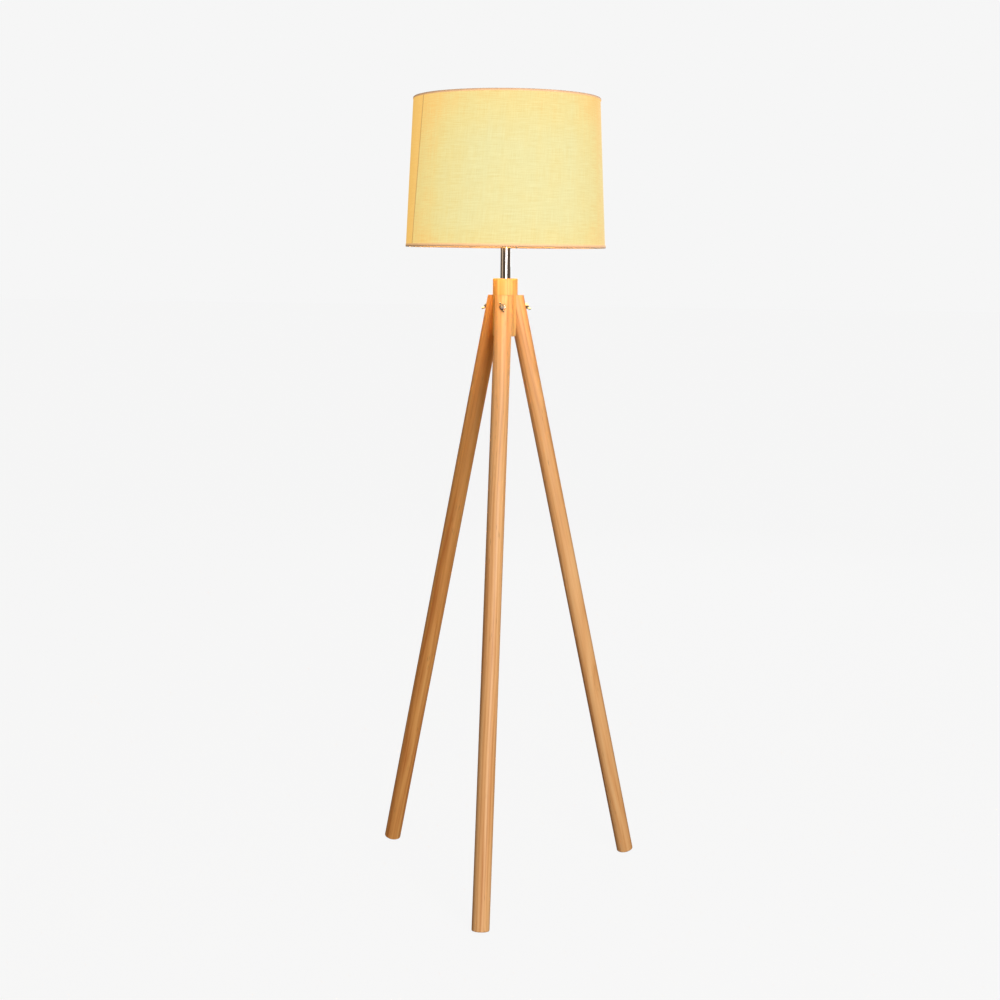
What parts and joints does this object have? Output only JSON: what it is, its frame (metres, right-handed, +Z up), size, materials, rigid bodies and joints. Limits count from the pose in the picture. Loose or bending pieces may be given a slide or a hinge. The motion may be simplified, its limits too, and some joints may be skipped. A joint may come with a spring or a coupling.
{
  "type": "tripod floor lamp",
  "caption": "Floor lamp on three splayed wooden dowel legs held to a turned hub by wing nuts, with a tapered drum shade on a chrome neck.",
  "frame": {"origin": "on the floor, on the lamp's vertical axis, midway between the three feet", "axes": "+Z up along the neck and the shade's axis; one leg stands towards -Y, the others 120 degrees round on each side of it"},
  "size_m": [0.557, 0.5188, 1.604],
  "materials": {
    "leg_wood": "clear matt lacquer",
    "hub_wood": "clear matt lacquer",
    "bright_steel": "bright nickel plate",
    "zinc_steel": "zinc plate",
    "chrome_tube": "polished chrome",
    "brass": "plain",
    "black_plastic": "satin",
    "white_plastic": "moulded",
    "porcelain": "glazed ceramic",
    "white_wire": "powder coat",
    "shade_fabric": "plain slub weave",
    "shade_liner": "satin film",
    "hem_fabric": "folded strip",
    "clear_glass": "clear",
    "black_glass": "vitreous",
    "nickel_cap": "nickelled",
    "filament": "coated sticks"
  },
  "bodies": {
    "stand": {"hub": "hub_wood", "leg_studs": "zinc_steel", "neck_tube": "chrome_tube", "threaded_pipe": "zinc_steel", "pipe_washer": "zinc_steel", "pipe_nut": "brass", "cable_bushing": "black_plastic", "holder_cap": "white_plastic", "holder_barrel": "white_plastic", "holder_insert": "porcelain", "screw_shell": "brass", "centre_contact": "brass", "terminal_screws": "brass", "holder_set_screw": "zinc_steel"},
    "front_leg": {"leg_front": "leg_wood"},
    "front_washer": {"washer_front": "bright_steel"},
    "front_wing_nut": {"wing_nut_front": "bright_steel"},
    "right_leg": {"leg_right": "leg_wood"},
    "right_washer": {"washer_right": "bright_steel"},
    "right_wing_nut": {"wing_nut_right": "bright_steel"},
    "left_leg": {"leg_left": "leg_wood"},
    "left_washer": {"washer_left": "bright_steel"},
    "left_wing_nut": {"wing_nut_left": "bright_steel"},
    "shade": {"shade_spider": "white_wire", "shade_fabric": "shade_fabric", "shade_liner": "shade_liner", "shade_bottom_hem": "hem_fabric", "shade_top_hem": "hem_fabric", "shade_bottom_wire": "white_wire", "shade_top_wire": "white_wire"},
    "ring": {"shade_ring": "white_plastic"},
    "bulb": {"bulb_glass": "clear_glass", "bulb_cap": "nickel_cap", "bulb_insulator": "black_glass", "bulb_contact": "brass", "bulb_stem": "clear_glass", "bulb_filaments": "filament"}
  },
  "joints": [
    {"name": "front_leg_draw_off", "type": "slide", "parent": "stand", "child": "front_leg", "axis": [0, -1, 0], "range_m": [0, 0.045]},
    {"name": "front_washer_travel", "type": "slide", "parent": "front_leg", "child": "front_washer", "axis": [0, -1, 0], "range_m": [0, 0.005]},
    {"name": "front_wing_nut_turn", "type": "hinge", "parent": "front_washer", "child": "front_wing_nut", "pos_m": [0, -0.0436, 1.197], "axis": [0, -1, 0], "range_deg": [0, 1800]},
    {"name": "right_leg_draw_off", "type": "slide", "parent": "stand", "child": "right_leg", "axis": [0.866, 0.5, 0], "range_m": [0, 0.045]},
    {"name": "right_washer_travel", "type": "slide", "parent": "right_leg", "child": "right_washer", "axis": [0.866, 0.5, 0], "range_m": [0, 0.005]},
    {"name": "right_wing_nut_turn", "type": "hinge", "parent": "right_washer", "child": "right_wing_nut", "pos_m": [0.03776, 0.0218, 1.197], "axis": [0.866, 0.5, 0], "range_deg": [0, 1800]},
    {"name": "left_leg_draw_off", "type": "slide", "parent": "stand", "child": "left_leg", "axis": [-0.866, 0.5, 0], "range_m": [0, 0.045]},
    {"name": "left_washer_travel", "type": "slide", "parent": "left_leg", "child": "left_washer", "axis": [-0.866, 0.5, 0], "range_m": [0, 0.005]},
    {"name": "left_wing_nut_turn", "type": "hinge", "parent": "left_washer", "child": "left_wing_nut", "pos_m": [-0.03776, 0.0218, 1.197], "axis": [-0.866, 0.5, 0], "range_deg": [0, 1800]},
    {"name": "shade_turn", "type": "hinge", "parent": "stand", "child": "shade", "pos_m": [0, 0, 1.352], "axis": [0, 0, 1], "continuous": true},
    {"name": "shade_ring_turn", "type": "hinge", "parent": "stand", "child": "ring", "pos_m": [0, 0, 1.3535], "axis": [0, 0, 1], "range_deg": [0, 1080]},
    {"name": "bulb_draw_out", "type": "slide", "parent": "stand", "child": "bulb", "axis": [0, 0, 1], "range_m": [0, 0.03]}
  ],
  "couplings": [
    {"joint": "front_washer_travel", "follows": "front_wing_nut_turn", "m_per_rad": 0.00015915},
    {"joint": "right_washer_travel", "follows": "right_wing_nut_turn", "m_per_rad": 0.00015915},
    {"joint": "left_washer_travel", "follows": "left_wing_nut_turn", "m_per_rad": 0.00015915}
  ]
}
